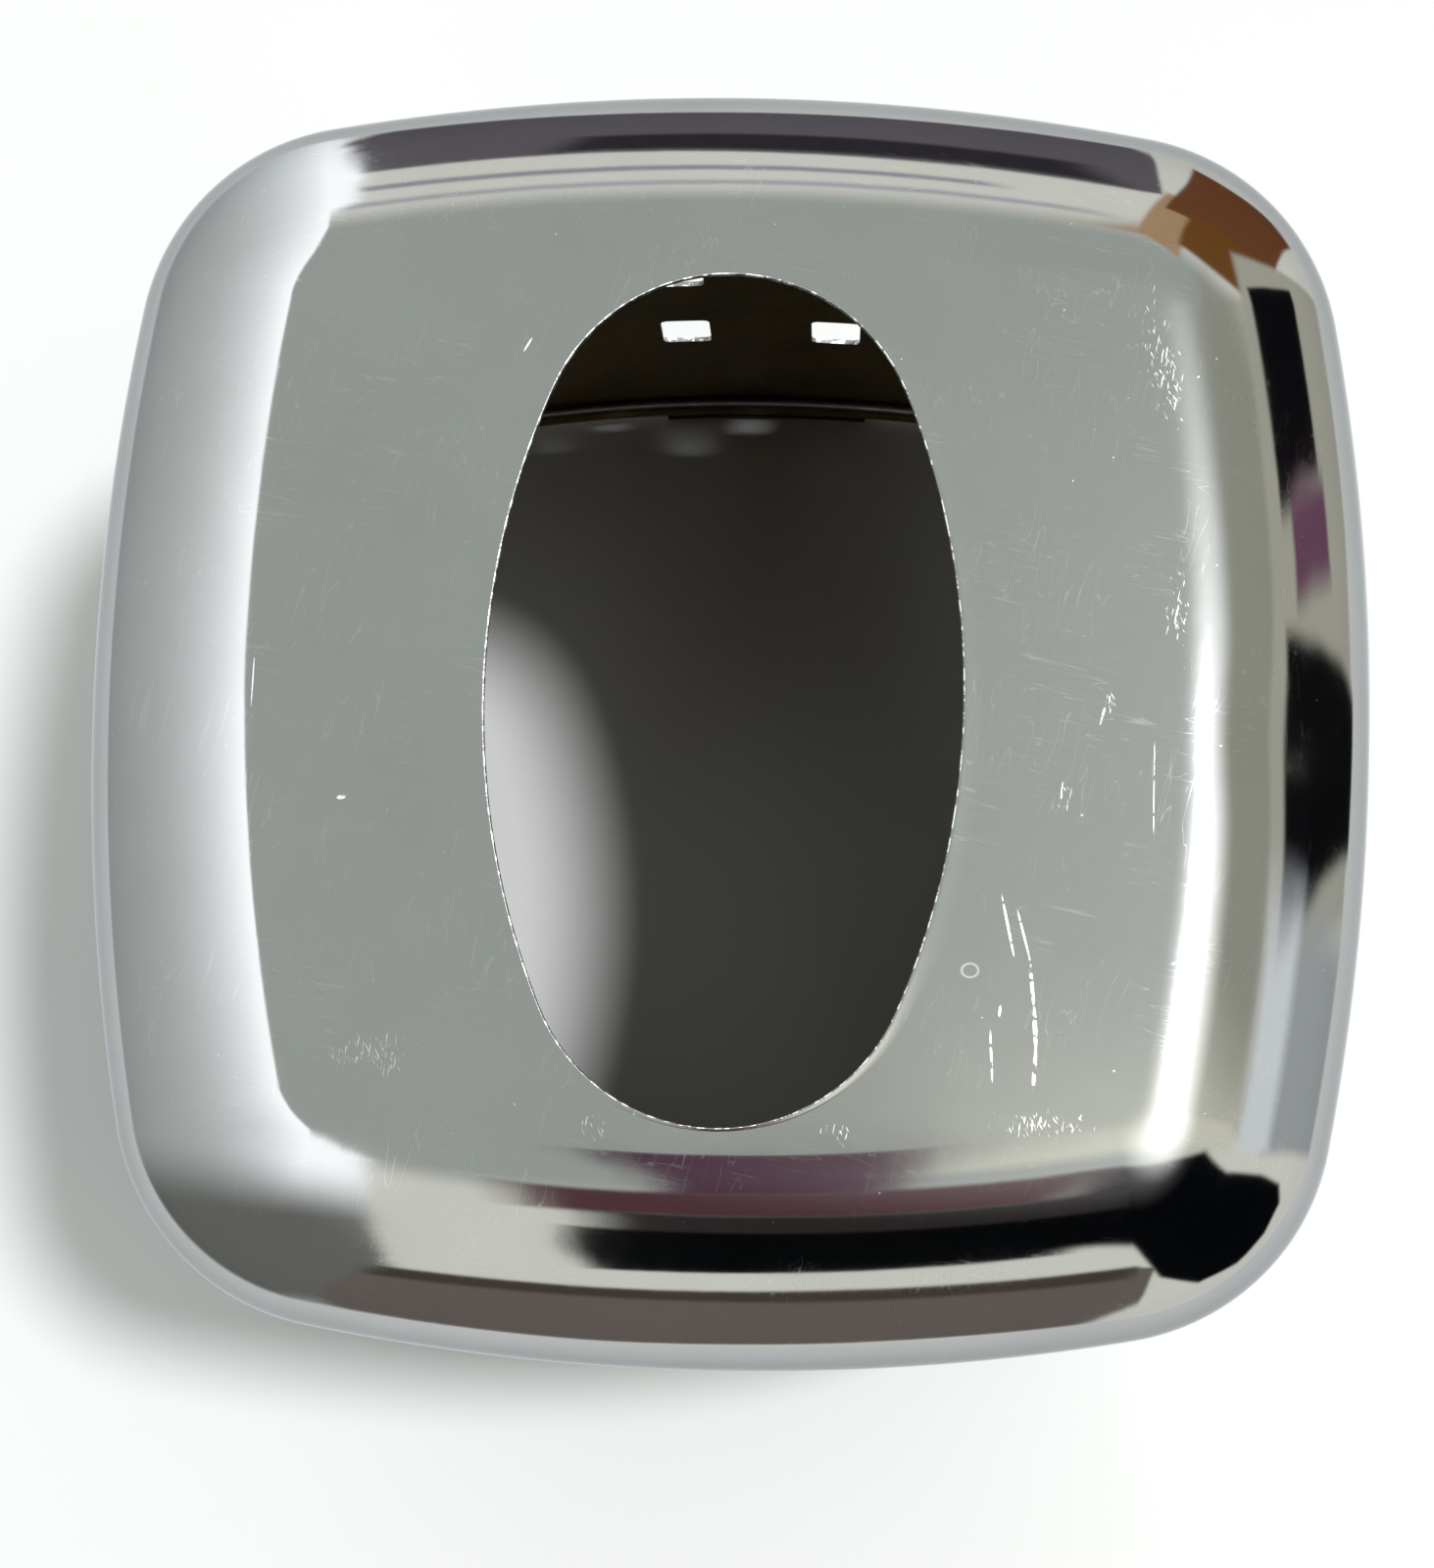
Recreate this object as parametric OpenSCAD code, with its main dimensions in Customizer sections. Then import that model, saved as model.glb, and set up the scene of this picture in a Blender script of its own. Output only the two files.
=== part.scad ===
// Cover for a cube tissue carton: a polished metal shell, open at the bottom, with an
// oval dispensing hole in its flat top.
// Units are millimetres. Origin: centre of the footprint at table height. +Z is up,
// and the oval's long axis lies along Y.

/* [Overall] */
// Width across the middle of two opposite sides
body_w = 140; // [120:1:170]
// Height from the table to the flat top
body_h = 142; // [130:1:170]
// Thickness of the metal sheet
sheet_t = 0.6; // [0.4:0.1:1.2]

/* [Outline] */
// Radius of the vertical corners, seen from above
corner_r = 26.2; // [24:0.1:40]
// Radius of the rolled shoulder between top and wall
shoulder_r = 23; // [8:1:23]

/* [Dispensing oval] */
// Width of the oval along X
oval_w = 49.2; // [35:0.1:60]
// Length of the oval along Y
oval_l = 88.4; // [75:0.1:95]

/* [Cap joint] */
// Height of the straight skirt under the shoulder
skirt_h = 8; // [5:0.5:20]
// Height of the sleeve's neck inside the skirt
lap_h = 7.4; // [4:0.1:7.4]
// Clearance between skirt and neck
lap_gap = 0.06; // [0.02:0.01:0.2]
// Height of the small ramp where the sleeve steps in to form its neck
joggle_h = 0.5; // [0.3:0.1:2]

/* [Bottom hem] */
// Outer radius of the curled bottom edge
hem_r = 1.6; // [1.4:0.1:3]
// Height of the hem above the table, filled by the pads
hem_lift = 0.8; // [0.4:0.1:1.2]
// Clearance round the stiffening wire inside the hem
wire_gap = 0.03; // [0.02:0.01:0.1]

/* [Wall seam] */
// Width of the butt gap where the two ends of the wall sheet meet
seam_gap = 0.15; // [0.05:0.05:0.5]
// Width of the backing strap behind the seam
strap_w = 12; // [6:1:25]
// Clearance between strap and wall
strap_gap = 0.04; // [0.02:0.01:0.1]
// Height of the strap's lower end above the table
strap_z = 6; // [5:1:20]

/* [Back slots] */
// Width of each slot in the back wall
slot_w = 6.7; // [4:0.1:9]
// Height of each slot
slot_h = 9.8; // [5:0.1:15]
// Corner radius of the slots
slot_corner_r = 1; // [0.4:0.1:1.8]
// Distance between the middles of the two columns of slots
slot_pitch_x = 20.8; // [12:0.1:30]
// Distance from one row of slots up to the next
slot_pitch_z = 25.4; // [18:0.1:30]
// Height of the lowest slots' lower edge above the table
slot_z = 31.8; // [12:0.1:36]

/* [Foot pads] */
// Length of each non-slip pad along its side
pad_len = 30; // [10:1:60]
// Height of each pad, up to the lips of its groove
pad_h = 1.4; // [1.3:0.1:2]

/* [Hidden] */
half_w = body_w / 2;
// Side arc and corner arc meet where the line through both their centres rises 11 in 60.
// That line is 61 units long, and one unit is set by the width and the corner radius.
meet_x = 60;
meet_y = 11;
meet_len = 61;
arc_unit = (half_w - corner_r) / (meet_len - meet_x + meet_y);
corner_c = meet_y * arc_unit;
side_off = meet_x * arc_unit - corner_c;
side_r = half_w + side_off;
// Width of the flat rim swept along each side, which the square plate then overlaps
flat_rim = 15;
shoulder_z = body_h - shoulder_r;
skirt_z = shoulder_z - skirt_h;
hem_z = hem_lift + hem_r;
// The oval's side and end arcs meet in the same way, on a line that rises 5 in 12
oval_x = 12;
oval_y = 5;
oval_len = 13;
oval_unit = (oval_l - oval_w) / 2 / (oval_y - oval_len + oval_x);
oval_end_c = oval_y * oval_unit;
oval_end_r = oval_l / 2 - oval_end_c;
oval_side_r = oval_end_r + oval_len * oval_unit;
oval_side_c = oval_x * oval_unit;
// How far cutting shapes run past what they cut
over = 1;
// Length of the wedges that trim the swept sides and corners, as a multiple of 60 and 11
wedge_reach = 5;
// Height of the gap between the cap's skirt and the ramp of the neck
ramp_gap = 0.1;
// Distance from the strap's upper end to the neck
strap_head = 2;
// Clearance between the hem and the grooves of the pads
groove_gap = 0.02;
$fn = 180;

// Sections are drawn with X = 0 on the outer face of the wall, negative X towards the
// inside, and Y as the height. All are swept about the centres of the outline's arcs.

// Sweep a section along one whole side
module full_side() {
  translate([-side_off, 0, 0])
    intersection() {
      rotate_extrude()
        translate([side_r, 0])
          children();
      linear_extrude(height = body_h + over)
        polygon([
          [0, 0],
          [wedge_reach * meet_x, -wedge_reach * meet_y],
          [wedge_reach * meet_x, wedge_reach * meet_y]
        ]);
    }
}

// Sweep a section round one corner
module full_corner() {
  translate([corner_c, corner_c, 0])
    intersection() {
      rotate_extrude()
        translate([corner_r, 0])
          children();
      linear_extrude(height = body_h + over)
        polygon([
          [0, 0],
          [meet_x, meet_y],
          [meet_x, meet_x],
          [meet_y, meet_x]
        ]);
    }
}

// Sweep a section round the whole outline
module all_round() {
  for (turn = [0:90:270])
    rotate([0, 0, turn]) {
      full_side() children();
      full_corner() children();
    }
}

// Sweep a section along a short length in the middle of the right side
module short_side(length) {
  half_angle = length / 2 / side_r * 180 / PI;
  translate([-side_off, 0, 0])
    rotate([0, 0, -half_angle])
      rotate_extrude(angle = 2 * half_angle)
        translate([side_r, 0])
          children();
}

// Rim of the flat top, rolled shoulder and straight skirt
module cap_section(rim) {
  translate([-shoulder_r, shoulder_z])
    intersection() {
      difference() {
        circle(r = shoulder_r);
        circle(r = shoulder_r - sheet_t);
      }
      square([shoulder_r, shoulder_r]);
    }
  translate([-shoulder_r - rim, body_h - sheet_t])
    square([rim, sheet_t]);
  translate([-sheet_t, skirt_z])
    square([sheet_t, skirt_h]);
}

// Outline of the oval hole: two sectors at the ends, and a lens between them
module oval() {
  reach = 3;
  for (turn = [0, 180])
    rotate([0, 0, turn])
      translate([0, oval_end_c])
        intersection() {
          circle(r = oval_end_r);
          polygon([
            [0, 0],
            [reach * oval_x, reach * oval_y],
            [reach * oval_x, reach * oval_x],
            [-reach * oval_x, reach * oval_x],
            [-reach * oval_x, reach * oval_y]
          ]);
        }
  intersection() {
    translate([-oval_side_c, 0])
      circle(r = oval_side_r);
    translate([oval_side_c, 0])
      circle(r = oval_side_r);
    polygon([
      [0, oval_end_c],
      [reach * oval_x, oval_end_c + reach * oval_y],
      [reach * oval_x, -oval_end_c - reach * oval_y],
      [0, -oval_end_c],
      [-reach * oval_x, -oval_end_c - reach * oval_y],
      [-reach * oval_x, oval_end_c + reach * oval_y]
    ]);
  }
}

module top_cap() {
  // The square plate reaches just past the corner centres, where it covers the small
  // circle that each corner's swept rim leaves open round its own axis
  plate = 2 * (corner_c + 1);
  open_r = 0.5;
  color([0.80, 0.81, 0.83])
  difference() {
    union() {
      for (turn = [0:90:270])
        rotate([0, 0, turn]) {
          full_side() cap_section(flat_rim);
          full_corner() cap_section(corner_r - shoulder_r - open_r);
        }
      translate([-plate / 2, -plate / 2, body_h - sheet_t])
        cube([plate, plate, sheet_t]);
    }
    translate([0, 0, body_h - sheet_t - over])
      linear_extrude(height = sheet_t + 2 * over)
        oval();
  }
}

// Wall with its stepped-in neck, down to the hem
module wall_section() {
  step = sheet_t + lap_gap;
  neck_z = skirt_z - ramp_gap;
  polygon([
    [0, hem_z],
    [0, neck_z - joggle_h],
    [-step, neck_z],
    [-step, skirt_z + lap_h],
    [-step - sheet_t, skirt_z + lap_h],
    [-step - sheet_t, neck_z],
    [-sheet_t, neck_z - joggle_h],
    [-sheet_t, hem_z]
  ]);
}

// Curled bottom edge: a ring that stays open above, between the curl's end and the wall
module hem_section() {
  translate([-hem_r, hem_z])
    difference() {
      circle(r = hem_r);
      circle(r = hem_r - sheet_t);
      polygon([
        [0, 0],
        [2 * hem_r, 0],
        [2 * hem_r, 2 * hem_r],
        [-hem_r, 2 * hem_r]
      ]);
    }
}

// One slot's outline, with its lower edge at height 0
module slot_outline() {
  inset_w = slot_w / 2 - slot_corner_r;
  translate([-slot_w / 2, slot_corner_r])
    square([slot_w, slot_h - 2 * slot_corner_r]);
  translate([-inset_w, 0])
    square([2 * inset_w, slot_h]);
  for (x = [-inset_w, inset_w], y = [slot_corner_r, slot_h - slot_corner_r])
    translate([x, y])
      circle(r = slot_corner_r);
}

// Two columns and two rows of slots, straight through the back wall
module back_slots() {
  depth = 10;
  for (side = [-1, 1], row = [0, 1])
    translate([side * slot_pitch_x / 2, half_w + over, slot_z + row * slot_pitch_z])
      rotate([90, 0, 0])
        linear_extrude(height = depth)
          slot_outline();
}

module wall_sleeve() {
  color([0.78, 0.79, 0.81])
  difference() {
    all_round() {
      wall_section();
      hem_section();
    }
    back_slots();
    // Butt seam down the middle of the left side
    translate([-half_w - over, -seam_gap / 2, 0])
      cube([2 * hem_r + 2 * over, seam_gap, body_h]);
  }
}

module seam_strap() {
  color([0.60, 0.61, 0.63])
  rotate([0, 0, 180])
    short_side(strap_w)
      translate([-2 * sheet_t - strap_gap, strap_z])
        square([sheet_t, skirt_z - joggle_h - strap_head - strap_z]);
}

module rim_wire() {
  color([0.55, 0.56, 0.58])
  all_round()
    translate([-hem_r, hem_z])
      circle(r = hem_r - sheet_t - wire_gap);
}

module foot_pad(turn) {
  color([0.12, 0.12, 0.13])
  rotate([0, 0, turn])
    short_side(pad_len)
      difference() {
        translate([-2 * hem_r, 0])
          square([2 * hem_r, pad_h]);
        translate([-hem_r, hem_z])
          circle(r = hem_r + groove_gap);
      }
}

module foot_pad_right() {
  foot_pad(0);
}

module foot_pad_back() {
  foot_pad(90);
}

module foot_pad_left() {
  foot_pad(180);
}

module foot_pad_front() {
  foot_pad(270);
}

top_cap();
wall_sleeve();
seam_strap();
rim_wire();
foot_pad_front();
foot_pad_right();
foot_pad_back();
foot_pad_left();
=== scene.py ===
"""Polished metal cover for a cube tissue carton, on a pale glossy table.

The shells are swept round the cover's outline from the CAD sizes, finely enough for a mirror
finish. All lengths are in metres, in the CAD frame: +Z up, the oval's long axis along Y.
"""
import math

import bpy
import numpy as np
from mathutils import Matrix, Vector


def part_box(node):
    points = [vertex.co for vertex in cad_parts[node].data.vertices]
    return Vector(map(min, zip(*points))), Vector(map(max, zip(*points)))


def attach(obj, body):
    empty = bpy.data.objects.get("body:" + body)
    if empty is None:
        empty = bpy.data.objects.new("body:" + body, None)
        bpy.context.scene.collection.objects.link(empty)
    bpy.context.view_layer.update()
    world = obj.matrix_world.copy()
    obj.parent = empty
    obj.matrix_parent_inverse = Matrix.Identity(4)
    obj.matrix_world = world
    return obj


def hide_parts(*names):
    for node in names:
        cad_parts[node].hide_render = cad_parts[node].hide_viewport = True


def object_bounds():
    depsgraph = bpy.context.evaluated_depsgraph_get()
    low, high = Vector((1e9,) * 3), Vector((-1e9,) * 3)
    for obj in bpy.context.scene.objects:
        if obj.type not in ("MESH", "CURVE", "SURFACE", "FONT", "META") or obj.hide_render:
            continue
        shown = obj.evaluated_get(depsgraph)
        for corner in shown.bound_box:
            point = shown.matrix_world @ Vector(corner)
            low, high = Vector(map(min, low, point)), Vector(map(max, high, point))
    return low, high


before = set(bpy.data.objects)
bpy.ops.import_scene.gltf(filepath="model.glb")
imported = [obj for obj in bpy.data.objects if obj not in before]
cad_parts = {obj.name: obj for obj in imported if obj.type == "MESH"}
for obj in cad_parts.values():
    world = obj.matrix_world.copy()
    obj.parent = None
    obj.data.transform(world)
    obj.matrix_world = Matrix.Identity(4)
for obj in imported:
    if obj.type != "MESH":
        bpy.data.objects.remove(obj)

CAD_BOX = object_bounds()
MM = 0.001

# ---------------------------------------------------------------- sizes, as in the CAD
HALF = CAD_BOX[1].x
TOP = CAD_BOX[1].z
CAP_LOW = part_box("top_cap")[0].z
NECK_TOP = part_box("wall_sleeve")[1].z
SHEET = 0.6 * MM
SHOULDER_R = 23 * MM
CORNER_R = 26.2 * MM
HEM_R = 1.6 * MM
HEM_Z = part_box("wall_sleeve")[0].z + HEM_R
LAP_GAP = 0.06 * MM
JOGGLE = 0.5 * MM
RAMP_GAP = 0.1 * MM
SEAM = 0.15 * MM
SLOT_W = 6.7 * MM
SLOT_H = 9.8 * MM
SLOT_CORNER = 1 * MM
SLOT_PITCH_X = 20.8 * MM
SLOT_PITCH_Z = 25.4 * MM
SLOT_Z = 31.8 * MM
PAD_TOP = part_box("foot_pad_front")[1].z
PAD_LENGTH = 30 * MM
SHOULDER_Z = TOP - SHOULDER_R

# Side and corner arcs meet on a line through both centres that rises 11 in 60 (length 61)
MEET_X, MEET_Y, MEET_LEN = 60, 11, 61
ARC_UNIT = (HALF - CORNER_R) / (MEET_LEN - MEET_X + MEET_Y)
CORNER_C = MEET_Y * ARC_UNIT
SIDE_OFF = (MEET_X - MEET_Y) * ARC_UNIT
SIDE_R = HALF + SIDE_OFF
MEET_ANGLE = math.atan2(MEET_Y, MEET_X)

# The oval's side and end arcs meet on a line that rises 5 in 12 (length 13)
OVAL_X, OVAL_Y, OVAL_LEN = 12, 5, 13
OVAL_HALF_W = 24.6 * MM
OVAL_HALF_L = 44.2 * MM
OVAL_UNIT = (OVAL_HALF_L - OVAL_HALF_W) / (OVAL_Y - OVAL_LEN + OVAL_X)
OVAL_END_C = OVAL_Y * OVAL_UNIT
OVAL_END_R = OVAL_HALF_L - OVAL_END_C
OVAL_SIDE_C = OVAL_X * OVAL_UNIT
OVAL_SIDE_R = OVAL_SIDE_C + OVAL_HALF_W
OVAL_MEET = math.atan2(OVAL_SIDE_R * OVAL_Y / OVAL_LEN, OVAL_SIDE_R * OVAL_X / OVAL_LEN - OVAL_SIDE_C)


# ---------------------------------------------------------------- outline and oval
def outline(n_side=44, n_corner=44):
    """Points and outward normals of the outer face, once round from the middle of the left side."""
    points = []
    for quarter in range(4):
        turn = math.pi + quarter * math.pi / 2
        quarter_points = []
        for i in range(n_side // 2):
            a = MEET_ANGLE * i / (n_side // 2)
            quarter_points.append((-SIDE_OFF, 0.0, SIDE_R, a))
        for i in range(n_corner):
            a = MEET_ANGLE + (math.pi / 2 - 2 * MEET_ANGLE) * i / n_corner
            quarter_points.append((CORNER_C, CORNER_C, CORNER_R, a))
        for i in range(n_side // 2):
            a = math.pi / 2 - MEET_ANGLE + MEET_ANGLE * i / (n_side // 2)
            quarter_points.append((0.0, -SIDE_OFF, SIDE_R, a))
        for cx, cy, r, a in quarter_points:
            normal = (math.cos(a), math.sin(a))
            point = (cx + r * normal[0], cy + r * normal[1])
            points.append((rotated(point, turn), rotated(normal, turn)))
    return points


def rotated(p, a):
    return (p[0] * math.cos(a) - p[1] * math.sin(a), p[0] * math.sin(a) + p[1] * math.cos(a))


def oval(angle):
    """Point and outward normal of the oval at a polar angle about its centre."""
    c, s = math.cos(angle), math.sin(angle)
    if abs(math.atan2(abs(s), abs(c))) < OVAL_MEET:
        centre = (-math.copysign(OVAL_SIDE_C, c), 0.0)
        r = OVAL_SIDE_R
    else:
        centre = (0.0, math.copysign(OVAL_END_C, s))
        r = OVAL_END_R
    along = c * centre[0] + s * centre[1]
    t = along + math.sqrt(along * along - centre[0] ** 2 - centre[1] ** 2 + r * r)
    point = (t * c, t * s)
    normal = ((point[0] - centre[0]) / r, (point[1] - centre[1]) / r)
    return point, normal


# ---------------------------------------------------------------- mesh helpers
# Material slots of the two shells
OUTSIDE, EDGE, INSIDE = 0, 1, 2


def new_object(name, verts, faces, materials, face_slots=None):
    mesh = bpy.data.meshes.new(name)
    mesh.from_pydata(verts, [], faces)
    for material in materials:
        mesh.materials.append(material)
    for i, poly in enumerate(mesh.polygons):
        poly.use_smooth = True
        if face_slots:
            poly.material_index = face_slots[i]
    mesh.validate()
    mesh.update()
    obj = bpy.data.objects.new(name, mesh)
    bpy.context.scene.collection.objects.link(obj)
    return obj


def arc(cx, cz, r, start, end, steps):
    """Points of an arc in a section, ends included; angles in degrees."""
    out = []
    for i in range(steps + 1):
        a = math.radians(start + (end - start) * i / steps)
        out.append((cx + r * math.cos(a), cz + r * math.sin(a)))
    return out


def line(p, q, steps):
    """Points after p up to and with q."""
    return [(p[0] + (q[0] - p[0]) * i / steps, p[1] + (q[1] - p[1]) * i / steps)
            for i in range(1, steps + 1)]


# ---------------------------------------------------------------- cap
def dent(x, y):
    """How far the sheet is pushed in at a point: one shallow dent and a slight waviness."""
    deepest, spread = 0.30 * MM, 5 * MM
    off_x, off_y = x - 59 * MM, y + 2 * MM
    blow = deepest * math.exp(-(off_x ** 2 + off_y ** 2) / (2 * spread ** 2))
    ripple = 1 + math.sin(x / (9.3 * MM) + 0.7) * math.sin(y / (11.7 * MM) - 0.4)
    slow = 1 + math.sin((x + 0.6 * y) / (23 * MM) + 1.9)
    return blow + 0.010 * MM * ripple + 0.015 * MM * slow


# Over this first share of the way from the oval to the shoulder, the waviness sets in
RIM_SHARE = 0.06


def radial_steps():
    """Shares of the way from the oval's rim to the shoulder, closer together near both ends."""
    count = 22
    middle = [RIM_SHARE + (1 - 2 * RIM_SHARE) * i / count for i in range(1, count)]
    return [0, 0.012, 0.03, RIM_SHARE] + middle + [1 - RIM_SHARE, 0.975]


def make_cap(materials):
    """The pressed top: rows of points run from the oval's cut edge out, down, and back inside."""
    around = outline()
    n = len(around)
    lip = 0.16 * MM
    burr = 0.05 * MM
    under = TOP - SHEET
    outer_steps, inner_steps = 52, 32
    skirt_steps, inner_skirt_steps = 8, 4
    verts = []

    def shell_row(d, z, nd, nz):
        """A row at distance d from the outer face; (nd, nz) is the way the dent pushes."""
        for (px, py), (nx, ny) in around:
            x, y = px + nx * d, py + ny * d
            push = dent(x, y)
            verts.append((x - nx * nd * push, y - ny * nd * push, z - nz * push))

    def shoulder_row(r, angle):
        """A row of the rolled shoulder: 90 degrees is its upper end, and 0 its lower one."""
        c, s = math.cos(math.radians(angle)), math.sin(math.radians(angle))
        shell_row(-SHOULDER_R + r * c, SHOULDER_Z + r * s, c, s)

    def skirt_row(d, share):
        """A row of the straight skirt, between the shoulder (0) and the rounded lip (1)."""
        shell_row(d, SHOULDER_Z + (CAP_LOW + lip - SHOULDER_Z) * share, 1, 0)

    def rim_points():
        """Start of the shoulder, and the oval's rim with its normal, once round."""
        for (px, py), (nx, ny) in around:
            ox, oy = px - nx * SHOULDER_R, py - ny * SHOULDER_R
            yield (ox, oy), *oval(math.atan2(oy, ox))

    def flat_row(share, z):
        """A row of the flat part, between the oval (0) and the start of the shoulder (1)."""
        for (ox, oy), (qx, qy), (mx, my) in rim_points():
            qx, qy = qx + mx * lip, qy + my * lip
            x, y = qx + (ox - qx) * share, qy + (oy - qy) * share
            fade = min(1, share / RIM_SHARE)
            verts.append((x, y, z - fade * dent(x, y)))

    def edge_row(out, z):
        """A row of the oval's cut edge, out from the hole's wall by a distance."""
        for _, (qx, qy), (mx, my) in rim_points():
            verts.append((qx + mx * out, qy + my * out, z))

    # The cut edge is rolled over slightly above, and burred below
    for out, z in arc(lip, TOP - lip, lip, 180, 90, 5)[:-1]:
        edge_row(out, z)
    cut_rows = len(verts) // n
    for share in radial_steps():
        flat_row(share, TOP)
    for i in range(outer_steps + 1):
        shoulder_row(SHOULDER_R, 90 - 90 * i / outer_steps)
    for i in range(1, skirt_steps + 1):
        skirt_row(0, i / skirt_steps)
    for d, z in arc(-lip, CAP_LOW + lip, lip, 0, -90, 4)[1:]:
        shell_row(d, z, 1, 0)
    for d, z in arc(-SHEET + lip, CAP_LOW + lip, lip, 270, 180, 4):
        shell_row(d, z, 1, 0)
    inner_rows = len(verts) // n
    for i in reversed(range(inner_skirt_steps)):
        skirt_row(-SHEET, i / inner_skirt_steps)
    for i in range(1, inner_steps + 1):
        shoulder_row(SHOULDER_R - SHEET, 90 * i / inner_steps)
    for share in reversed(radial_steps()[1:]):
        flat_row(share, under)
    under_rows = len(verts) // n
    for out, z in arc(burr, under + burr, burr, 270, 180, 2):
        edge_row(out, z)

    rows = len(verts) // n
    faces, slots = [], []
    for r in range(rows):
        for i in range(n):
            j, s = (i + 1) % n, (r + 1) % rows
            faces.append((r * n + i, r * n + j, s * n + j, s * n + i))
            if r < cut_rows or r >= under_rows:
                slots.append(EDGE)
            else:
                slots.append(INSIDE if r >= inner_rows else OUTSIDE)
    return new_object("cap_shell", verts, faces, materials, slots)


# ---------------------------------------------------------------- sleeve
def sleeve_section():
    """Closed section of the wall: X is the distance from the outer face, Y the height.

    Also gives the first and the last point of the inside.
    """
    step = SHEET + LAP_GAP
    neck_z = CAP_LOW - RAMP_GAP
    low_z = neck_z - JOGGLE
    edge = 0.12 * MM
    margin = 0.3 * MM
    # Each bend of the joggle is eased with two points, this far along the wall and on the ramp
    ease, ramp_in, ramp_up = 0.05 * MM, 0.03 * MM, 0.02 * MM
    # Angle in degrees at which the curl of the hem ends
    curl_end, bevel = -225, 2
    points = line((0, HEM_Z), (0, HEM_Z + margin), 1)
    points += line(points[-1], (0, low_z - margin), 36)
    points += [(0, low_z - ease), (-ramp_in, low_z + ramp_up)]
    points += [(-step + ramp_in, neck_z - ramp_up), (-step, neck_z + ease)]
    points += line(points[-1], (-step, NECK_TOP - edge), 3)
    points += arc(-step - edge, NECK_TOP - edge, edge, 0, 90, 3)[1:]
    first = len(points)
    points += arc(-step - SHEET + edge, NECK_TOP - edge, edge, 90, 180, 3)
    points += line(points[-1], (-step - SHEET, neck_z + ease), 3)
    points += [(-step - SHEET + ramp_in, neck_z - ramp_up), (-SHEET - ramp_in, low_z + ramp_up)]
    points += [(-SHEET, low_z - ease)]
    points += line(points[-1], (-SHEET, HEM_Z + margin), 24)
    points += arc(-HEM_R, HEM_Z, HEM_R - SHEET, 0, curl_end + bevel, 22)
    points += arc(-HEM_R, HEM_Z, HEM_R, curl_end, -90, 16)
    last = len(points)
    points += arc(-HEM_R, HEM_Z, HEM_R, -90, 0, 10)[1:]
    return points, first, last


def wall_share(z):
    """Share of the waviness at a height on the wall: none at its foot and under the cap."""
    above_foot = (z - 6 * MM) / (20 * MM)
    below_cap = (CAP_LOW - 1 * MM - z) / (10 * MM)
    return min(1, max(0, above_foot)) * min(1, max(0, below_cap))


def make_sleeve(materials):
    """The wrapped wall, open along its seam in the middle of the left side."""
    around = outline()
    (start_x, start_y), start_normal = around[0]
    first = ((start_x, start_y - SEAM / 2), start_normal)
    last = ((start_x, start_y + SEAM / 2), start_normal)
    around = [first] + around[1:] + [last]
    section, inside_from, inside_to = sleeve_section()
    verts = []
    for d, z in section:
        share = wall_share(z)
        # The waviness drifts sideways with height, so that no wave runs straight down the wall
        for (px, py), (nx, ny) in around:
            push = share * dent(px + 0.4 * z, py + 0.7 * z)
            verts.append((px + nx * (d - push), py + ny * (d - push), z))
    n, rows = len(around), len(section)
    faces, slots = [], []
    for r in range(rows):
        s = (r + 1) % rows
        for i in range(n - 1):
            faces.append((r * n + i, r * n + i + 1, s * n + i + 1, s * n + i))
            slots.append(INSIDE if inside_from <= r < inside_to else OUTSIDE)
    faces.append(tuple(r * n for r in reversed(range(rows))))
    faces.append(tuple(r * n + n - 1 for r in range(rows)))
    slots += [EDGE, EDGE]
    sleeve = new_object("sleeve_shell", verts, faces, materials, slots)
    cut_out(sleeve, slot_prisms(materials))
    return sleeve


def slot_prisms(materials):
    """Round-cornered prisms that stand across the back wall where its slots are."""
    out, into = 5 * MM, 8 * MM
    verts, faces, slots = [], [], []
    inset_w, inset_h = SLOT_W / 2 - SLOT_CORNER, SLOT_H / 2 - SLOT_CORNER
    outline_points = []
    for quarter, (sx, sz) in enumerate(((1, 1), (-1, 1), (-1, -1), (1, -1))):
        outline_points += arc(sx * inset_w, sz * inset_h, SLOT_CORNER, 90 * quarter, 90 * quarter + 90, 6)
    n = len(outline_points)
    for side in (-1, 1):
        for row in (0, 1):
            x = side * SLOT_PITCH_X / 2
            z = SLOT_Z + SLOT_H / 2 + row * SLOT_PITCH_Z
            first = len(verts)
            for y in (HALF + out, HALF - into):
                verts += [(x + px, y, z + pz) for px, pz in outline_points]
            faces.append(tuple(first + i for i in reversed(range(n))))
            faces.append(tuple(first + n + i for i in range(n)))
            for i in range(n):
                j = (i + 1) % n
                faces.append((first + i, first + j, first + n + j, first + n + i))
            slots += [EDGE] * (n + 2)
    return new_object("slot_prisms", verts, faces, materials, slots)


def cut_out(piece, cutter):
    """Cuts a closed mesh out of a piece, and keeps the new edges crisp."""
    modifier = piece.modifiers.new("cut", "BOOLEAN")
    modifier.operation = "DIFFERENCE"
    modifier.solver = "EXACT"
    modifier.object = cutter
    graph = bpy.context.evaluated_depsgraph_get()
    mesh = bpy.data.meshes.new_from_object(piece.evaluated_get(graph))
    piece.modifiers.clear()
    piece.data = mesh
    crisp_from = math.radians(50)
    mesh.set_sharp_from_angle(angle=crisp_from)
    bpy.data.objects.remove(cutter)


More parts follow.
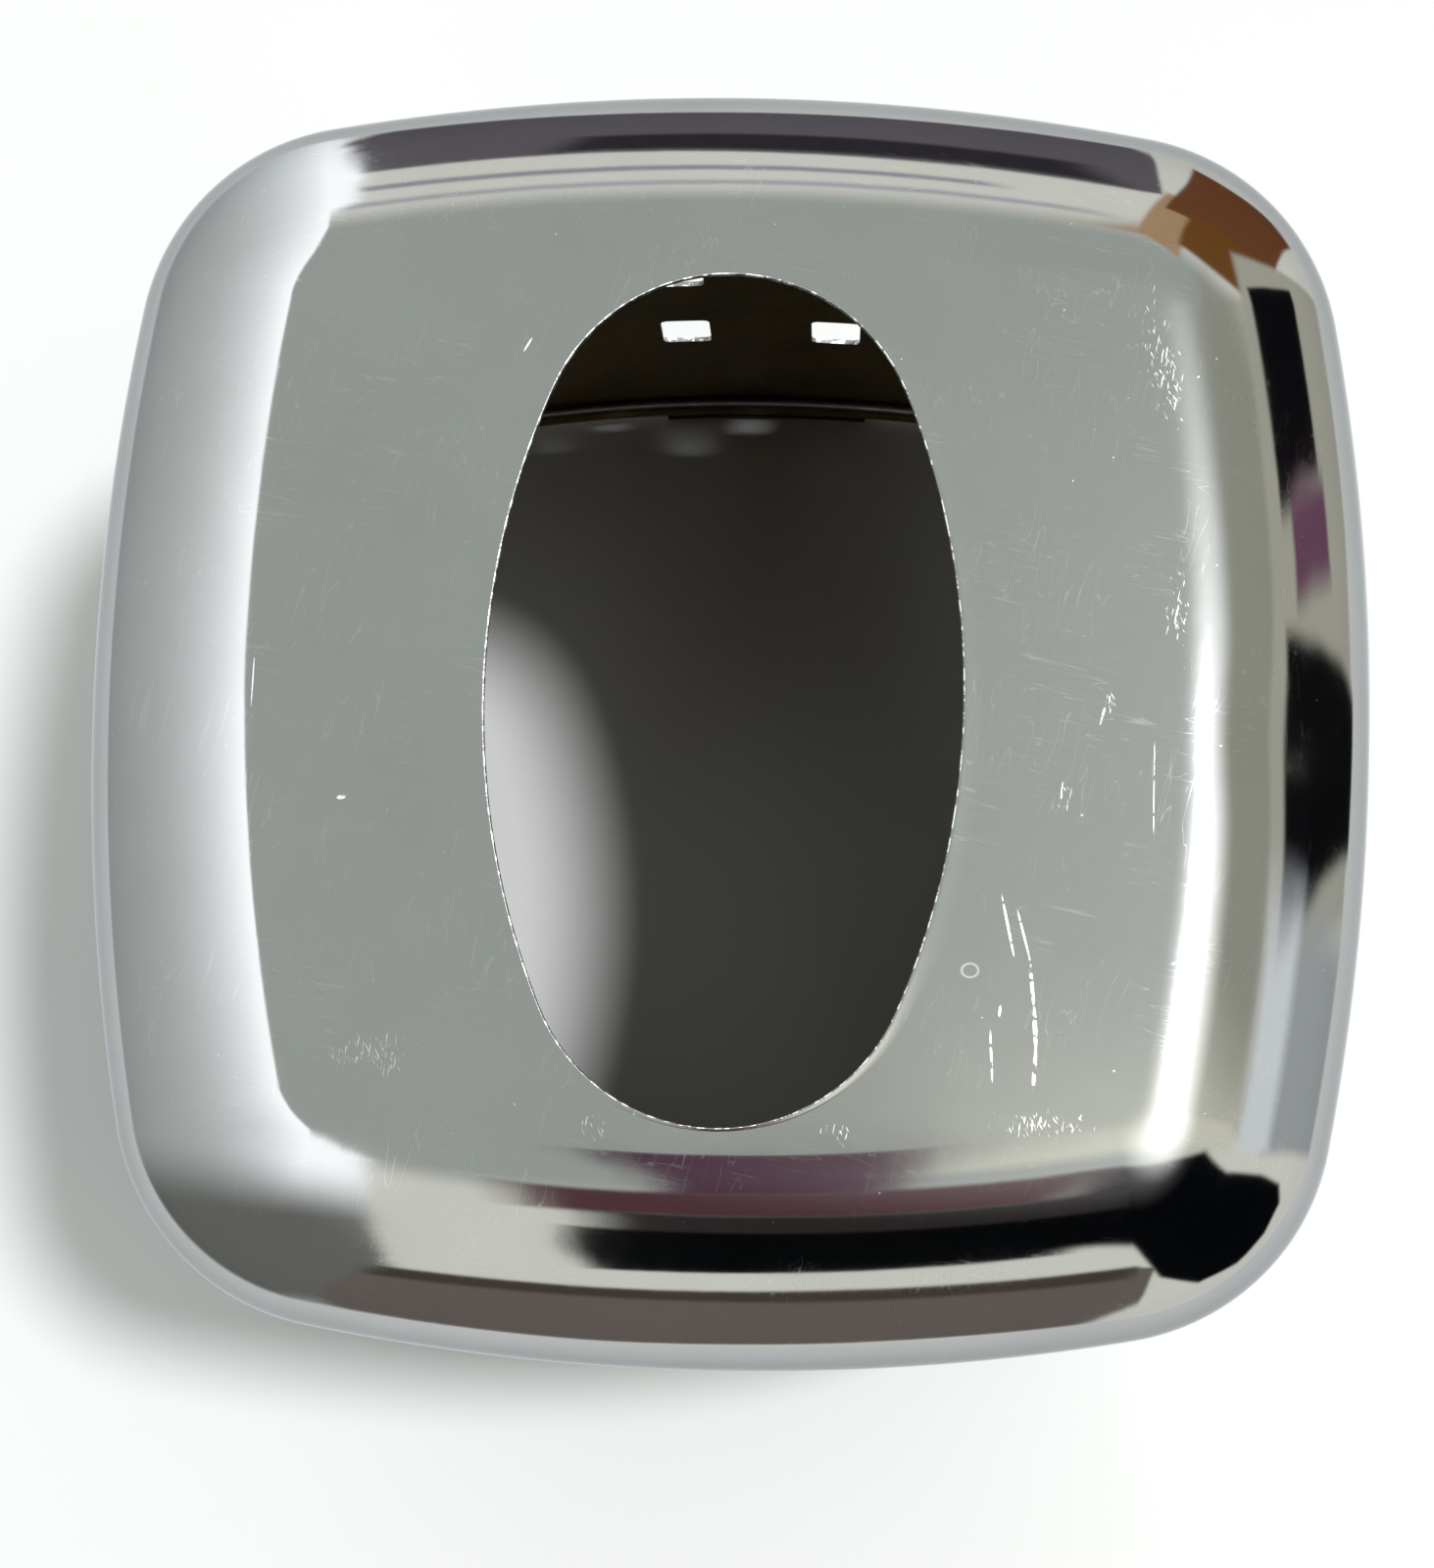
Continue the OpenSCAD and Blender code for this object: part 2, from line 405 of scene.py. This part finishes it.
# ---------------------------------------------------------------- foot pads
def pad_section(shrink):
    """Rounded section of a pad with a groove for the hem, pulled in by shrink at its ends."""
    left, right = -2 * HEM_R + shrink, -shrink
    top = PAD_TOP - shrink
    edge = 0.14 * MM
    groove_gap = 0.03 * MM
    groove = HEM_R + groove_gap
    half_chord = math.sqrt(groove ** 2 - (HEM_Z - top) ** 2)
    groove_end = math.degrees(math.asin((HEM_Z - top) / groove))
    points = arc(left + edge, edge, edge, 180, 270, 3)
    points += arc(right - edge, edge, edge, 270, 360, 3)
    points += arc(right - edge, top - edge, edge, 0, 90, 3)[:-1]
    points.append(((right - edge - HEM_R + half_chord) / 2, top))
    points += arc(-HEM_R, HEM_Z, groove, -groove_end, -180 + groove_end, 8)
    points.append(((left + edge - HEM_R - half_chord) / 2, top))
    points += arc(left + edge, top - edge, edge, 90, 180, 3)[1:]
    return points


def make_pad(name, turn, materials):
    """A pad that follows the side's bow, with rounded ends."""
    half = PAD_LENGTH / 2
    round_end = 0.10 * MM
    end_steps, middle_steps = 3, 12
    stations = []
    for i in range(end_steps + 1):
        a = math.pi / 2 * i / end_steps
        stations.append((-half + round_end * (1 - math.cos(a)), round_end * (1 - math.sin(a))))
    for i in range(1, middle_steps):
        stations.append((-half + round_end + (2 * half - 2 * round_end) * i / middle_steps, 0))
    for i in reversed(range(end_steps + 1)):
        a = math.pi / 2 * i / end_steps
        stations.append((half - round_end * (1 - math.cos(a)), round_end * (1 - math.sin(a))))
    verts = []
    for along, shrink in stations:
        a = along / SIDE_R
        for d, z in pad_section(shrink):
            r = SIDE_R + d
            x, y = rotated((-SIDE_OFF + r * math.cos(a), r * math.sin(a)), turn)
            verts.append((x, y, z))
    n = len(pad_section(0))
    faces = []
    for k in range(len(stations) - 1):
        for i in range(n):
            j = (i + 1) % n
            faces.append((k * n + i, (k + 1) * n + i, (k + 1) * n + j, k * n + j))
    faces.append(tuple(range(n)))
    last = (len(stations) - 1) * n
    faces.append(tuple(last + i for i in reversed(range(n))))
    return new_object(name, verts, faces, materials)


# ---------------------------------------------------------------- shader helpers
def linear(r, g, b):
    """An sRGB colour, 0 to 255, as a linear one."""
    out = []
    for c in (r, g, b):
        c /= 255
        out.append(c / 12.92 if c <= 0.04045 else ((c + 0.055) / 1.055) ** 2.4)
    return tuple(out)


class Graph:
    """Short names for the shader nodes used here. Inputs are sockets or plain values."""

    def __init__(self, tree):
        self.tree = tree
        tree.nodes.clear()

    def node(self, kind, *inputs, **settings):
        made = self.tree.nodes.new("ShaderNode" + kind)
        for key, value in settings.items():
            setattr(made, key, value)
        for i, value in enumerate(inputs):
            if value is not None:
                self.feed(made.inputs[i], value)
        return made

    def feed(self, socket, value):
        if isinstance(value, bpy.types.NodeSocket):
            self.tree.links.new(value, socket)
        elif socket.type == "RGBA" and len(value) == 3:
            socket.default_value = (*value, 1)
        else:
            socket.default_value = value

    def math(self, operation, a, b=None, clamp=False):
        return self.node("Math", a, b, operation=operation, use_clamp=clamp).outputs[0]

    def length(self, a):
        return self.node("VectorMath", a, operation="LENGTH").outputs["Value"]

    def scaled(self, a, factor):
        made = self.node("VectorMath", a, operation="SCALE")
        self.feed(made.inputs["Scale"], factor)
        return made.outputs[0]

    def millimetres(self):
        """Place on the object, in millimetres."""
        return self.scaled(self.node("TexCoord").outputs["Object"], 1 / MM)

    def smooth(self, value, low, high, to_low=0.0, to_high=1.0):
        """Smoothstep of a value from low to high."""
        made = self.node("MapRange", value, low, high, to_low, to_high,
                         interpolation_type="SMOOTHSTEP")
        return made.outputs[0]

    def mix(self, factor, a, b):
        made = self.node("Mix", data_type="RGBA")
        self.feed(made.inputs[0], factor)
        self.feed(made.inputs[6], a)
        self.feed(made.inputs[7], b)
        return made.outputs[2]

    def noise(self, vector, scale, detail=2.0, roughness=0.5):
        made = self.node("TexNoise", vector)
        self.feed(made.inputs["Scale"], scale)
        self.feed(made.inputs["Detail"], detail)
        self.feed(made.inputs["Roughness"], roughness)
        return made.outputs["Fac"]

    def mapped(self, vector, location=(0, 0, 0), turn=0.0, scale=(1, 1, 1)):
        """Coordinates measured from a place, turned about Z, in units of scale."""
        made = self.node("Mapping", vector, vector_type="TEXTURE")
        self.feed(made.inputs["Location"], location)
        self.feed(made.inputs["Rotation"], (0, 0, math.radians(turn)))
        self.feed(made.inputs["Scale"], scale)
        return made.outputs[0]

    def bump(self, height, distance, strength=1.0, normal=None):
        made = self.node("Bump")
        self.feed(made.inputs["Height"], height)
        self.feed(made.inputs["Distance"], distance)
        self.feed(made.inputs["Strength"], strength)
        if normal is not None:
            self.feed(made.inputs["Normal"], normal)
        return made.outputs[0]

    def surface(self, colour, roughness, normal, uniform):
        """Ends a material in its shader. Uniform holds plain values for other sockets."""
        shader = self.node("BsdfPrincipled")
        self.feed(shader.inputs["Base Color"], colour)
        self.feed(shader.inputs["Roughness"], roughness)
        self.feed(shader.inputs["Normal"], normal)
        for name, value in uniform.items():
            shader.inputs[name].default_value = value
        self.node("OutputMaterial", shader.outputs[0])


def new_material(name):
    material = bpy.data.materials.new(name)
    material.use_nodes = True
    return material, Graph(material.node_tree)


# ---------------------------------------------------------------- metal
def hairlines(g, mm, turn, lean, spacing, seed):
    """Fine broken scratches in one direction, 0 to 1. Spacing is in millimetres."""
    turned = g.node("VectorRotate", mm, rotation_type="EULER_XYZ")
    g.feed(turned.inputs["Rotation"], (math.radians(lean), 0, math.radians(turn)))
    length = 14 * spacing
    stretched = g.mapped(turned.outputs[0], (seed, -seed, seed / 2), 0, (length, spacing, spacing))
    level = g.noise(stretched, 1.0, 1.0)
    ridge = g.math("ABSOLUTE", g.math("SUBTRACT", level, 0.5))
    thread = g.smooth(ridge, 0.014, 0.0)
    breaks = g.smooth(g.noise(g.mapped(mm, (2 * seed, seed, 0)), 0.11, 3.0), 0.47, 0.62)
    return g.math("MULTIPLY", thread, breaks)


def off_centre(g, mm, x, y, half_x, half_y, turn=0):
    """How far a place is from an ellipse's middle on the top: 1 on the ellipse itself."""
    half_z = 60
    return g.length(g.mapped(mm, (x, y, TOP / MM), turn, (half_x, half_y, half_z)))


def stroke(g, mm, x, y, turn, half_length, half_width):
    """One scratch on the top, 0 to 1: a thin ellipse at a place in millimetres."""
    return g.smooth(off_centre(g, mm, x, y, half_length, half_width, turn), 1.15, 0.75)


def ring(g, mm, x, y, half_x, half_y):
    """The raised rim of a small ding, faint."""
    off = g.math("ABSOLUTE", g.math("SUBTRACT", off_centre(g, mm, x, y, half_x, half_y), 1.0))
    return g.smooth(off, 0.30, 0.05, 0.0, 0.32)


def zone(g, mm, x, y, half_x, half_y, turn=0):
    """A place on the top where marks crowd together, 0 to 1, thinning out towards its rim."""
    return g.smooth(off_centre(g, mm, x, y, half_x, half_y, turn), 1.3, 0.0)


def strongest(g, masks):
    out = masks[0]
    for mask in masks[1:]:
        out = g.math("MAXIMUM", out, mask)
    return out


def polished_metal(name, marks=None):
    """Bright plated sheet: uneven haze, hairline scratches, specks, and marks on the top."""
    material, g = new_material(name)
    mm = g.millimetres()

    haze = g.smooth(g.noise(mm, 0.045, 3.0, 0.6), 0.35, 0.75)
    cloud = g.noise(mm, 0.6, 3.0, 0.65)
    lines = g.math("MAXIMUM", hairlines(g, mm, 12, 5, 0.9, 3.1), hairlines(g, mm, 104, -8, 1.3, 17.7))
    specks = g.smooth(g.noise(mm, 1.5, 1.0, 0.5), 0.79, 0.83, 0.0, 0.55)
    scratches = g.math("MAXIMUM", g.math("MULTIPLY", lines, 0.16), specks)
    if marks:
        scratches = g.math("MAXIMUM", scratches, marks(g, mm))

    dullness = g.math("ADD", g.math("MULTIPLY", haze, 0.02), g.math("MULTIPLY", cloud, 0.03))
    worn = g.math("MULTIPLY", scratches, 0.34)
    roughness = g.math("ADD", g.math("ADD", dullness, worn), 0.035, clamp=True)

    clean = g.mix(haze, (0.545, 0.55, 0.55), (0.52, 0.525, 0.52))
    colour = g.mix(scratches, clean, (0.85, 0.86, 0.87))

    waves = g.bump(g.noise(mm, 0.16, 1.0), 0.010 * MM)
    fine = g.bump(cloud, 0.001 * MM, 1.0, waves)

    g.surface(colour, roughness, fine, {"Metallic": 1.0, "Specular Tint": (0.56, 0.575, 0.60, 1)})
    return material


# Marks on the flat top, in millimetres from its middle and in degrees.
# Scuffed zones: x, y, half width, half height, turn
SCUFFED = [
    (44.6, 35.5, 3.6, 12.5, 12),
    (46.4, 9, 2.2, 8),
    (39.8, 0, 1.2, 3),
    (35.3, -9.4, 2.0, 3),
    (-35, -37, 9, 4),
    (-12, -44.5, 4, 2.5),
    (13, -44.5, 3.5, 2.2),
    (33, -43.3, 9, 2.8),
]
# Single scratches: x, y, turn, half length, half width
SCRATCHES = [
    (29.5, -23.1, 102, 3.3, 0.12),
    (31.1, -23.9, 105, 2.6, 0.10),
    (32.0, -28.9, 96, 2.9, 0.17),
    (32.4, -33.5, 93, 2.3, 0.21),
    (32.4, -37.6, 87, 2.4, 0.20),
    (28.0, -36.4, 93, 2.7, 0.12),
    (28.8, -31.8, 85, 0.6, 0.12),
    (44.2, -8.7, 90, 4.8, 0.035),
    (38.9, -1.2, 75, 1.1, 0.10),
    (-21.0, 36.5, 60, 0.9, 0.10),
    (-48.5, 1.0, 88, 3.0, 0.07),
    (-39.0, -11.0, 10, 0.5, 0.22),
]
# One small ding: x, y, half width, half height
DING = (25.7, -27.7, 0.85, 0.7)


def top_marks(g, mm):
    """Scuffs and scratches on the flat top."""
    crowding = g.math("MULTIPLY", strongest(g, [zone(g, mm, *place) for place in SCUFFED]), 0.24)
    upright = g.noise(g.mapped(mm, (0, 0, 0), 82, (1.5, 0.16, 1.5)), 1.0, 1.0)
    leaning = g.noise(g.mapped(mm, (5, 3, 0), 118, (1.1, 0.14, 1.1)), 1.0, 1.0)
    scuffs = g.smooth(g.math("ADD", g.math("MAXIMUM", upright, leaning), crowding), 0.84, 0.93)
    broken = g.smooth(g.noise(g.mapped(mm, (0, 0, 0), 0, (1.0, 1.0, 9)), 1.0, 2.0), 0.36, 0.50)
    strokes = [stroke(g, mm, *place) for place in SCRATCHES]
    cuts = g.math("MULTIPLY", strongest(g, strokes), broken)
    return strongest(g, [g.math("MULTIPLY", scuffs, 0.55), cuts, ring(g, mm, *DING)])


def inner_lacquer():
    """The inside of the sheet: thin dark brown lacquer, satin, with a little orange peel."""
    material, g = new_material("inner_lacquer")
    mm = g.millimetres()
    stain = g.smooth(g.noise(mm, 0.07, 4.0, 0.6), 0.35, 0.75)
    peel = g.noise(mm, 0.9, 2.0)
    specks = g.smooth(g.noise(mm, 2.6, 2.0, 0.7), 0.70, 0.76)
    worn = g.mix(stain, (0.20, 0.150, 0.055), (0.13, 0.097, 0.036))
    colour = g.mix(specks, worn, (0.17, 0.14, 0.09))
    roughness = g.smooth(peel, 0.2, 0.8, 0.34, 0.48)
    g.surface(colour, roughness, g.bump(peel, 0.02 * MM, 0.6), {"Specular IOR Level": 0.25})
    return material


def cut_edge():
    """Sheared edges: bare grey metal with bright chips where the plating stops."""
    material, g = new_material("cut_edge")
    mm = g.millimetres()
    chips = g.smooth(g.noise(mm, 0.9, 4.0, 0.7), 0.50, 0.56)
    grain = g.noise(mm, 7.0, 3.0)
    colour = g.mix(chips, (0.22, 0.22, 0.22), (0.95, 0.95, 0.94))
    roughness = g.smooth(grain, 0.2, 0.8, 0.28, 0.6)
    g.surface(colour, roughness, g.bump(grain, 0.02 * MM, 0.7), {"Metallic": 1.0})
    return material


def plain_steel(name, along, colour):
    """Rolled or drawn steel, with its grain stretched along one axis."""
    material, g = new_material(name)
    mm = g.millimetres()
    grain = g.noise(g.mapped(mm, (0, 0, 0), 0, along), 1.0, 5.0, 0.6)
    stain = g.smooth(g.noise(mm, 0.08, 3.0), 0.5, 0.8)
    shade = g.mix(stain, colour, tuple(0.6 * c for c in colour))
    roughness = g.smooth(grain, 0.2, 0.8, 0.25, 0.48)
    g.surface(shade, roughness, g.bump(grain, 0.03 * MM, 0.5), {"Metallic": 1.0})
    return material


def pad_rubber():
    """Matt black rubber, a little dusty."""
    material, g = new_material("pad_rubber")
    mm = g.millimetres()
    grain = g.noise(mm, 5.0, 4.0, 0.7)
    dust = g.smooth(g.noise(mm, 0.35, 3.0), 0.55, 0.8)
    colour = g.mix(dust, (0.022, 0.022, 0.024), (0.075, 0.072, 0.066))
    roughness = g.smooth(grain, 0.2, 0.8, 0.55, 0.8)
    g.surface(colour, roughness, g.bump(grain, 0.05 * MM, 0.6), {"Specular IOR Level": 0.35})
    return material


# ---------------------------------------------------------------- pieces
cap_metal = polished_metal("cap_metal", top_marks)
sleeve_metal = polished_metal("sleeve_metal")

bare_edge = cut_edge()
lacquer = inner_lacquer()

cap = make_cap([cap_metal, bare_edge, lacquer])
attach(cap, "root")
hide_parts("top_cap")

sleeve = make_sleeve([sleeve_metal, bare_edge, lacquer])
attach(sleeve, "root")
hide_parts("wall_sleeve")

rubber = pad_rubber()
for side, quarter in (("right", 0), ("back", 1), ("left", 2), ("front", 3)):
    pad = make_pad("pad_" + side, quarter * math.pi / 2, [rubber])
    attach(pad, "root")
    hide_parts("foot_pad_" + side)

for node, steel in (
    ("seam_strap", plain_steel("strap_steel", (0.25, 0.25, 9), (0.46, 0.46, 0.47))),
    ("rim_wire", plain_steel("wire_steel", (2, 2, 0.3), (0.42, 0.42, 0.43))),
):
    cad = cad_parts[node]
    cad.data.materials.clear()
    cad.data.materials.append(steel)


# ---------------------------------------------------------------- floor
def make_floor():
    """A pale glossy table. What the metal mirrors of it ends at the table's edge."""
    size = 4.0
    edge = 0.28
    verts = [(-size, -size, 0), (size, -size, 0), (size, size, 0), (-size, size, 0)]
    material, g = new_material("table_white")
    place = g.node("TexCoord").outputs["Object"]
    shader = g.node("BsdfPrincipled")
    mottle = g.noise(place, 9.0, 3.0)
    g.feed(shader.inputs["Base Color"], g.mix(mottle, (0.54, 0.545, 0.535), (0.575, 0.58, 0.575)))
    shader.inputs["Roughness"].default_value = 0.28
    far = g.math("GREATER_THAN", g.length(place), edge)
    mirrored = g.math("MULTIPLY", far, g.node("LightPath").outputs["Is Glossy Ray"])
    gone = g.node("BsdfTransparent")
    both = g.node("MixShader", mirrored, shader.outputs[0], gone.outputs[0])
    g.node("OutputMaterial", both.outputs[0])
    floor = new_object("table_top", verts, [(0, 1, 2, 3)], [material])


make_floor()


# ---------------------------------------------------------------- studio
# Share of the light that the metal returns
METAL = 0.53


def seen(r, g, b):
    """Light that the metal returns as this sRGB colour."""
    return tuple(c / METAL for c in linear(r, g, b))


def card(right, up, width, height, turn=0):
    """Corners of a plain card hung round the table, in degrees from the zenith."""
    corners = []
    for x, y in ((-1, -1), (1, -1), (1, 1), (-1, 1)):
        dx, dy = rotated((x * width / 2, y * height / 2), math.radians(turn))
        corners.append((right + dx, up + dy))
    return corners


# What the metal mirrors is a plain studio, given in degrees from the zenith: right is +X, up
# is +Y. A tall pale board stands on the left, and cards hang round the other sides.
BOARD_EDGE = [
    (-40, 130), (-27, 97), (-21, 77), (-17.5, 60), (-17, 46), (-19, 33), (-22.5, 21), (-23, 10),
    (-19.5, 4), (-15, -1), (-12, -8), (-12, -18), (-14, -30), (-22, -75), (-50, -130), (140, -140),
    (140, 140),
]

# The board is brightest along that edge, and fades over this many degrees
BOARD_DIM, BOARD_BRIGHT = seen(141, 145, 144), seen(250, 253, 255)
BOARD_FALL = 25
BOARD_SOFT = 0.7

# Its darker lower part, and the cards: (softness of the edge, colour, corners)
BOARD = [
    (36, seen(92, 93, 89), card(-75, -80, 140, 84)),
]

CARDS = [
    # Grey scrim overhead, shaded towards its right edge
    (14, seen(143, 148, 143), [
        (-40, 50), (10, 50), (38, 39), (60, 16), (60, 0), (50, -12), (20, -22), (-40, -22),
    ]),
    (14, seen(132, 132, 122), card(46, 12, 34, 38, -10)),
    (9, seen(186, 186, 172), card(30, -9, 54, 14, -8)),
    # Behind: a dim card low down with a black strip on it, and two thin grey lines above it
    (2, seen(84, 80, 86), card(-4, 98, 58, 40)),
    (3, seen(40, 38, 42), card(2, 86, 30, 12)),
    (2, seen(128, 132, 138), card(-6, 67, 28, 3)),
    (3, seen(150, 153, 156), card(-4, 57, 30, 3)),
    # Behind and to the right: warm brown cards
    (3, seen(150, 124, 96), card(26, 60, 18, 36, -30)),
    (1.5, seen(94, 58, 36), card(58, 77, 52, 44, -24)),
    (3, seen(96, 62, 26), card(46, 50, 32, 22, -24)),
    # Right: two black cards and a plum one in front of a grey one, and paler greys below them
    (4, seen(150, 149, 138), card(86, 28, 60, 60, 10)),
    (2, seen(10, 9, 12), card(76, 35, 31, 19, 22)),
    (3, seen(92, 62, 80), card(85, 25, 28, 6, 20)),
    (3, seen(9, 9, 11), card(94, 12, 54, 14, 12)),
    (8, seen(142, 146, 147), card(100, -10, 44, 24)),
    (9, seen(190, 194, 197), card(72, -9, 20, 24)),
    # Front: a large black card on the right, and smaller dark ones in the middle
    (3, seen(5, 6, 8), [
        (8, -20), (26, -20), (42, -17), (56, -29), (80, -32), (96, -36), (101, -46), (96, -64),
        (82, -82), (62, -92), (36, -84), (12, -58),
    ]),
    (2, seen(66, 38, 54), card(-1, -10, 7, 22)),
    (3, seen(74, 48, 54), card(0, -26, 18, 12)),
    (3, seen(40, 36, 36), card(3, -38, 20, 14)),
    (2, seen(6, 7, 8), card(3, -52, 22, 24)),
    # Front, low down: a grey card with a darker upper edge
    (2, seen(92, 84, 80), card(-5, -98, 72, 42)),
    (3, seen(62, 54, 48), card(-2, -80, 50, 7)),
]

# Light added round a place: (right, up, half width, half height, gain)
GLOWS = [
    (22, -3, 10, 18, 1.6),
    (17, -6, 15, 24, 0.35),
]
GLOW_REACH = 1.6

# Plain grey paper hangs behind the cards. Below this angle there is only even pale light
PAPER = seen(192, 192, 184)
BELOW = seen(200, 202, 205)
BELOW_FROM, BELOW_SOFT = 119, 6


def smoothstep(t):
    t = np.clip(t, 0, 1)
    return t * t * (3 - 2 * t)


def depth_inside(right, up, corners):
    """How far inside a polygon each place is, in degrees; negative outside."""
    nearest = np.full(len(right), 1e9)
    inside = np.zeros(len(right), bool)
    for (ax, ay), (bx, by) in zip(corners, corners[1:] + corners[:1]):
        ex, ey = bx - ax, by - ay
        along = np.clip(((right - ax) * ex + (up - ay) * ey) / (ex * ex + ey * ey), 0, 1)
        nearest = np.minimum(nearest, np.hypot(right - ax - along * ex, up - ay - along * ey))
        crosses = (ay > up) != (by > up)
        if ey:
            inside ^= crosses & (right < ax + (up - ay) / ey * ex)
    return np.where(inside, nearest, -nearest)


def painted(colour, flats, right, up):
    """Lays flats over a colour, in order."""
    for soft, light, corners in flats:
        share = smoothstep(0.5 + depth_inside(right, up, corners) / soft)[:, None]
        colour = colour + (np.array(light) - colour) * share
    return colour


def wobble(right, up):
    """Slow drift that keeps the edges of the flats from looking ruled."""
    return 0.9 * np.sin(right / 9.1 + up / 14.3 + 0.5) + 0.15 * np.sin(right / 4.3 - up / 3.7 + 2.1)


def surroundings(right, up):
    """Light from each direction, given in degrees from the zenith, as rows of RGB."""
    past_edge = depth_inside(right, up, BOARD_EDGE)
    glare = np.exp(np.minimum(0, past_edge) / BOARD_FALL)[:, None]
    board = np.array(BOARD_DIM) + (np.array(BOARD_BRIGHT) - np.array(BOARD_DIM)) * glare
    board = painted(board, BOARD, right, up)
    beyond = np.tile(np.array(PAPER), (len(right), 1))
    beyond = painted(beyond, CARDS, right + wobble(right, up), up + wobble(up, -right))
    for at_right, at_up, half_w, half_h, gain in GLOWS:
        reach = np.hypot((right - at_right) / half_w, (up - at_up) / half_h)
        beyond = beyond + gain * smoothstep(1 - reach / GLOW_REACH)[:, None]
    share = smoothstep(0.5 + past_edge / BOARD_SOFT)[:, None]
    colour = board + (beyond - board) * share
    below = smoothstep((np.hypot(right, up) - BELOW_FROM) / BELOW_SOFT)[:, None]
    return colour + (np.array(BELOW) - colour) * below


def make_dome():
    """The surroundings as a wide dome with a colour at each of its points."""
    radius = 20.0
    rings, spokes = 260, 720
    lowest = 130.0
    angle = np.concatenate([[0], np.repeat(lowest * np.arange(1, rings + 1) / rings, spokes)])
    turn = np.concatenate([[0], np.tile(2 * math.pi * np.arange(spokes) / spokes, rings)])
    high, wide = np.cos(np.radians(angle)), np.sin(np.radians(angle))
    verts = radius * np.stack([wide * np.cos(turn), wide * np.sin(turn), high], axis=1)
    colours = np.ones((len(verts), 4), np.float32)
    colours[:, :3] = surroundings(angle * np.cos(turn), angle * np.sin(turn))
    faces = [(0, 1 + k, 1 + (k + 1) % spokes) for k in range(spokes)]
    for i in range(rings - 1):
        a, b = 1 + i * spokes, 1 + (i + 1) * spokes
        for k in range(spokes):
            j = (k + 1) % spokes
            faces.append((a + k, b + k, b + j, a + j))
    material, g = new_material("surroundings")
    light = g.node("Emission", g.node("Attribute", attribute_name="light").outputs["Color"], 1.0)
    g.node("OutputMaterial", light.outputs[0])
    material.cycles.emission_sampling = "NONE"
    dome = new_object("studio_dome", verts.tolist(), faces, [material])
    layer = dome.data.color_attributes.new("light", "FLOAT_COLOR", "POINT")
    layer.data.foreach_set("color", colours.ravel())
    dome.visible_camera = False
    dome.visible_shadow = False


def make_world():
    """A plain pale backdrop, which only the camera sees above the table."""
    world = bpy.data.worlds.new("studio")
    bpy.context.scene.world = world
    world.use_nodes = True
    g = Graph(world.node_tree)
    g.node("OutputWorld", g.node("Background", (0.93, 0.93, 0.93), 1.0).outputs[0])


def make_lamp(name, energy, degrees, towards):
    """A distant soft lamp, seen from the cover in the direction towards."""
    data = bpy.data.lights.new(name, "SUN")
    data.energy = energy
    data.angle = math.radians(degrees)
    data.color = (0.975, 0.985, 1.0)
    lamp = bpy.data.objects.new(name, data)
    lamp.rotation_mode = "QUATERNION"
    lamp.rotation_quaternion = Vector(towards).to_track_quat("Z", "Y")
    bpy.context.scene.collection.objects.link(lamp)


def make_camera():
    """Almost straight down, from the front right."""
    data = bpy.data.cameras.new("camera")
    data.sensor_width = 36
    data.lens = 69.2
    data.shift_x = -0.04
    data.shift_y = 0.14
    data.clip_start = 0.01
    data.clip_end = 20
    camera = bpy.data.objects.new("camera", data)
    camera.location = (12.2 * MM, -52.2 * MM, TOP + 306.3 * MM)
    camera.rotation_mode = "ZYX"
    camera.rotation_euler = (0.0677, 0.0189, 0.0181)
    bpy.context.scene.collection.objects.link(camera)
    bpy.context.scene.camera = camera


make_world()
make_dome()
make_lamp("lamp_main", 3.3, 6.5, (0.355, 0.078, 1))
make_lamp("lamp_far", 0.8, 60, (0.5, 0.6, 1))
make_camera()
bpy.context.scene.view_settings.view_transform = "Standard"
